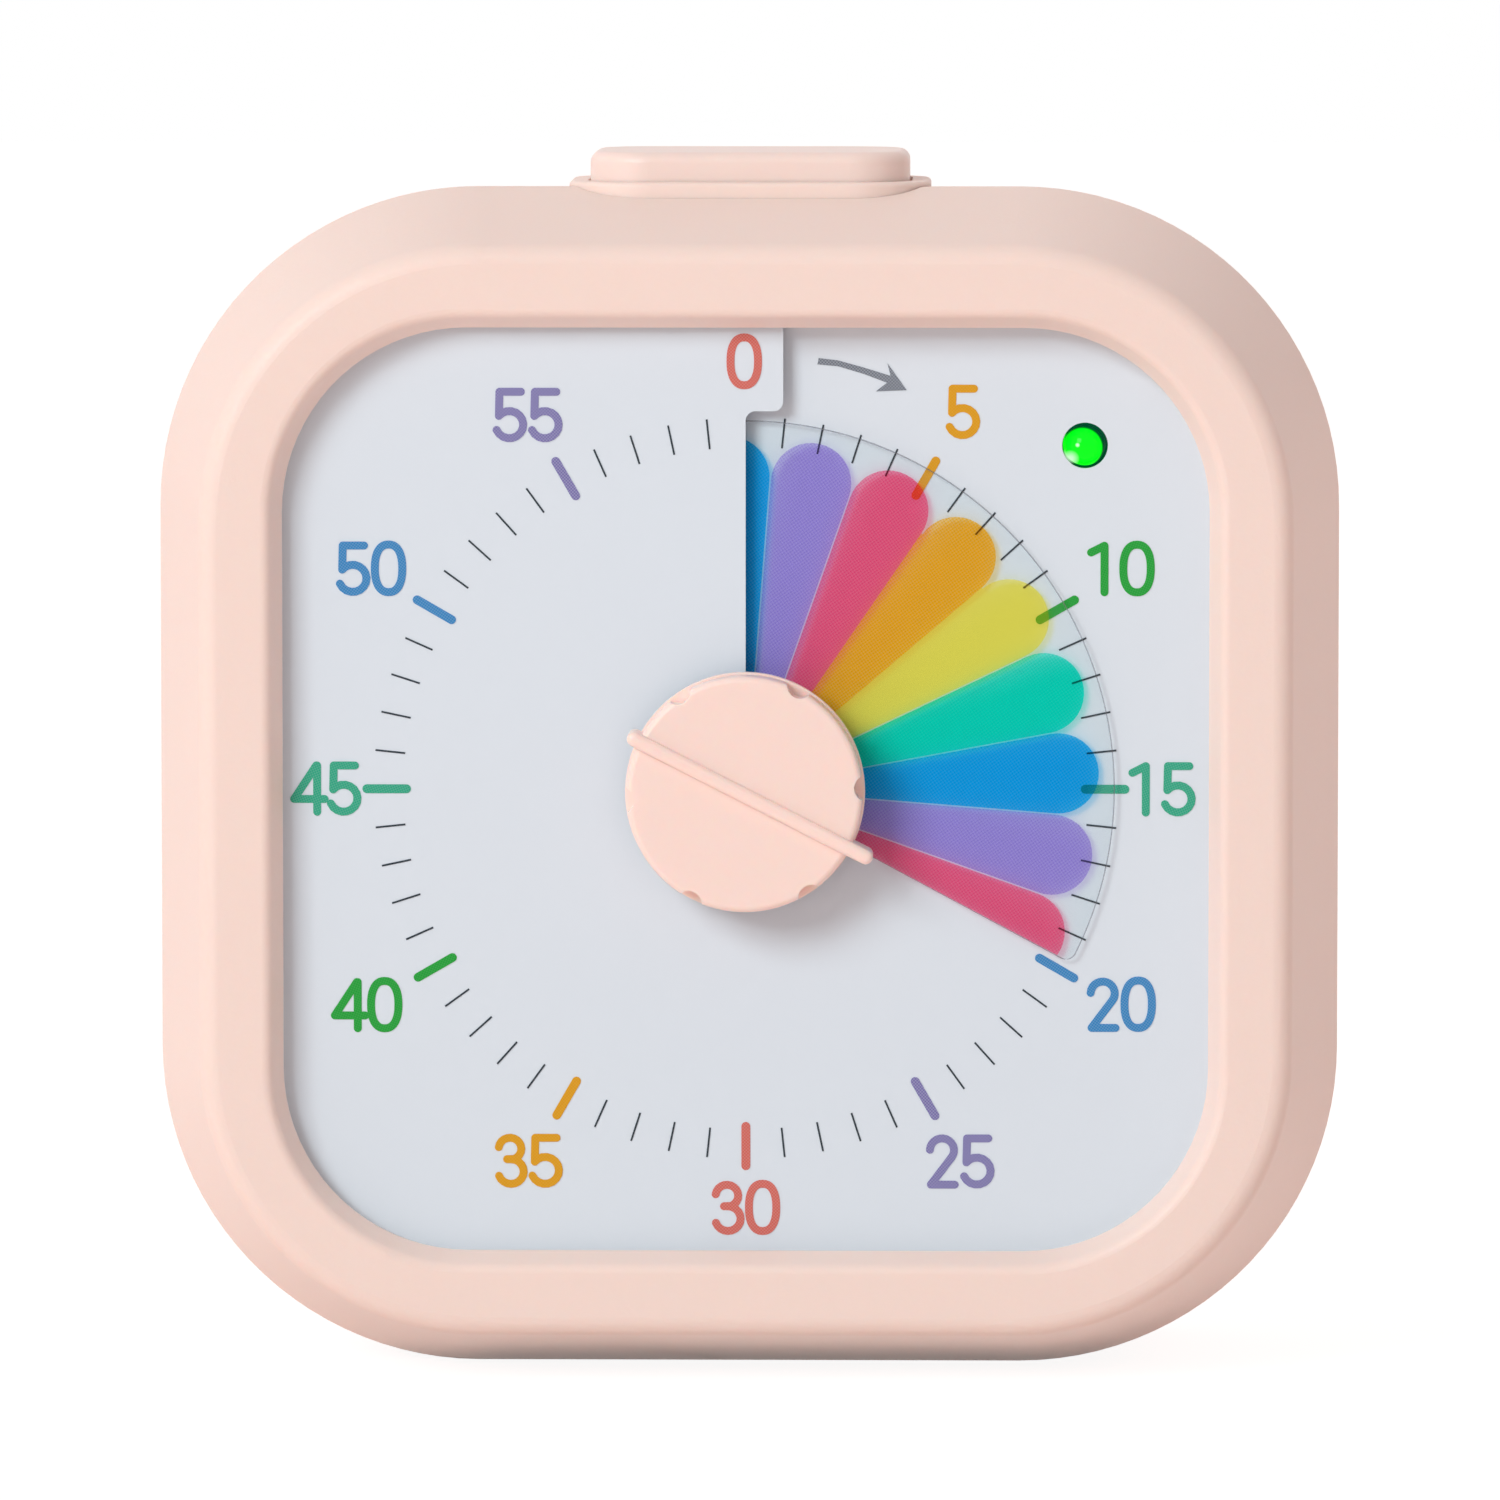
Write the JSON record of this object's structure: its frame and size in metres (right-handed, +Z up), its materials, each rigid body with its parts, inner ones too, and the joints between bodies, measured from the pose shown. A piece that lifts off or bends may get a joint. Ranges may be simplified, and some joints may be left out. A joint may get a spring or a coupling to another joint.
{
  "type": "visual countdown timer",
  "caption": "Square desk timer: a knob on a numbered dial draws a coloured film out of a slit, with a top button, status light, rear battery door and volume slider.",
  "frame": {"origin": "centre of the whole object in X and Y, at table height", "axes": "+Z up, -Y towards the reader of the dial, +X to the reader's right"},
  "size_m": [0.086, 0.0384, 0.0886],
  "materials": {
    "housing": "fine matte moulded plastic, pale peach pink",
    "dial": "printed sheet, pale blue grey, matte",
    "film": "clear glossy film with translucent colour print",
    "knob": "satin moulded plastic, pale peach pink",
    "inner_plastic": "natural white moulded plastic",
    "gear_plastic": "acetal, off-white",
    "steel": "bright steel",
    "brass": "turned brass",
    "copper": "enamelled copper winding",
    "magnet": "sintered ferrite",
    "board": "green lacquered glass-fibre board",
    "chip": "black moulded resin",
    "led": "clear green resin, lit",
    "buzzer": "black moulded plastic",
    "cell": "plain sleeve, dark grey, with bare metal ends"
  },
  "bodies": {
    "case": {"front_housing": "housing", "rear_housing": "housing", "dial_sheet": "dial", "dial_carrier": "inner_plastic", "shaft_bush": "brass", "movement_case": "inner_plastic", "movement_cover": "inner_plastic", "wheel_arbor": "steel", "stator": "steel", "drive_coil": "copper", "circuit_board": "board", "controller_chip": "chip", "status_led": "led", "buzzer": "buzzer", "volume_switch": "steel", "battery_cell_1": "cell", "battery_cell_2": "cell", "flat_contacts": "steel", "leaf_springs": "steel", "button_collar": "housing", "button_board": "board", "tact_switch": "chip", "button_spring": "steel", "case_screws": "steel", "carrier_screws": "steel", "movement_screws": "steel", "board_screws": "steel", "button_board_screws": "steel"},
    "knob": {"knob": "knob", "knob_shaft": "steel", "retaining_clip": "steel", "shaft_wheel": "gear_plastic"},
    "film": {"colour_film": "film", "film_hub": "inner_plastic"},
    "reduction_wheel": {"reduction_wheel": "gear_plastic"},
    "rotor": {"rotor_pinion": "gear_plastic", "rotor_magnet": "magnet"},
    "top_button": {"top_button": "housing"},
    "volume_slider": {"volume_slider": "inner_plastic"},
    "battery_door": {"battery_door": "housing"}
  },
  "joints": [
    {"name": "knob_turn", "type": "hinge", "parent": "case", "child": "knob", "pos_m": [0, -0.0168, 0.043], "axis": [0, 1, 0], "range_deg": [-117, 243]},
    {"name": "film_climb", "type": "slide", "parent": "knob", "child": "film", "axis": [0, -1, 0], "range_m": [-0.00043, 0.00089]},
    {"name": "reduction_spin", "type": "hinge", "parent": "case", "child": "reduction_wheel", "pos_m": [0, -0.0168, 0.028], "axis": [0, 1, 0], "range_deg": [-973, 469]},
    {"name": "rotor_spin", "type": "hinge", "parent": "case", "child": "rotor", "pos_m": [0.01202, -0.0168, 0.02456], "axis": [0, 1, 0], "range_deg": [-1873, 3889]},
    {"name": "button_press", "type": "slide", "parent": "case", "child": "top_button", "axis": [0, 0, -1], "range_m": [0, 0.0006], "stiffness_N_per_m": 600, "springref_m": -0.0005, "deforming": ["button_spring"]},
    {"name": "volume_slide", "type": "slide", "parent": "case", "child": "volume_slider", "axis": [1, 0, 0], "range_m": [-0.002, 0.002]},
    {"name": "door_open", "type": "hinge", "parent": "case", "child": "battery_door", "pos_m": [0, 0.01825, 0.0137], "axis": [-1, 0, 0], "range_deg": [0, 80]}
  ],
  "couplings": [
    {"joint": "film_climb", "follows": "knob_turn", "m_per_rad": 0.0002069},
    {"joint": "reduction_spin", "follows": "knob_turn", "ratio": -4},
    {"joint": "rotor_spin", "follows": "knob_turn", "ratio": 16}
  ]
}
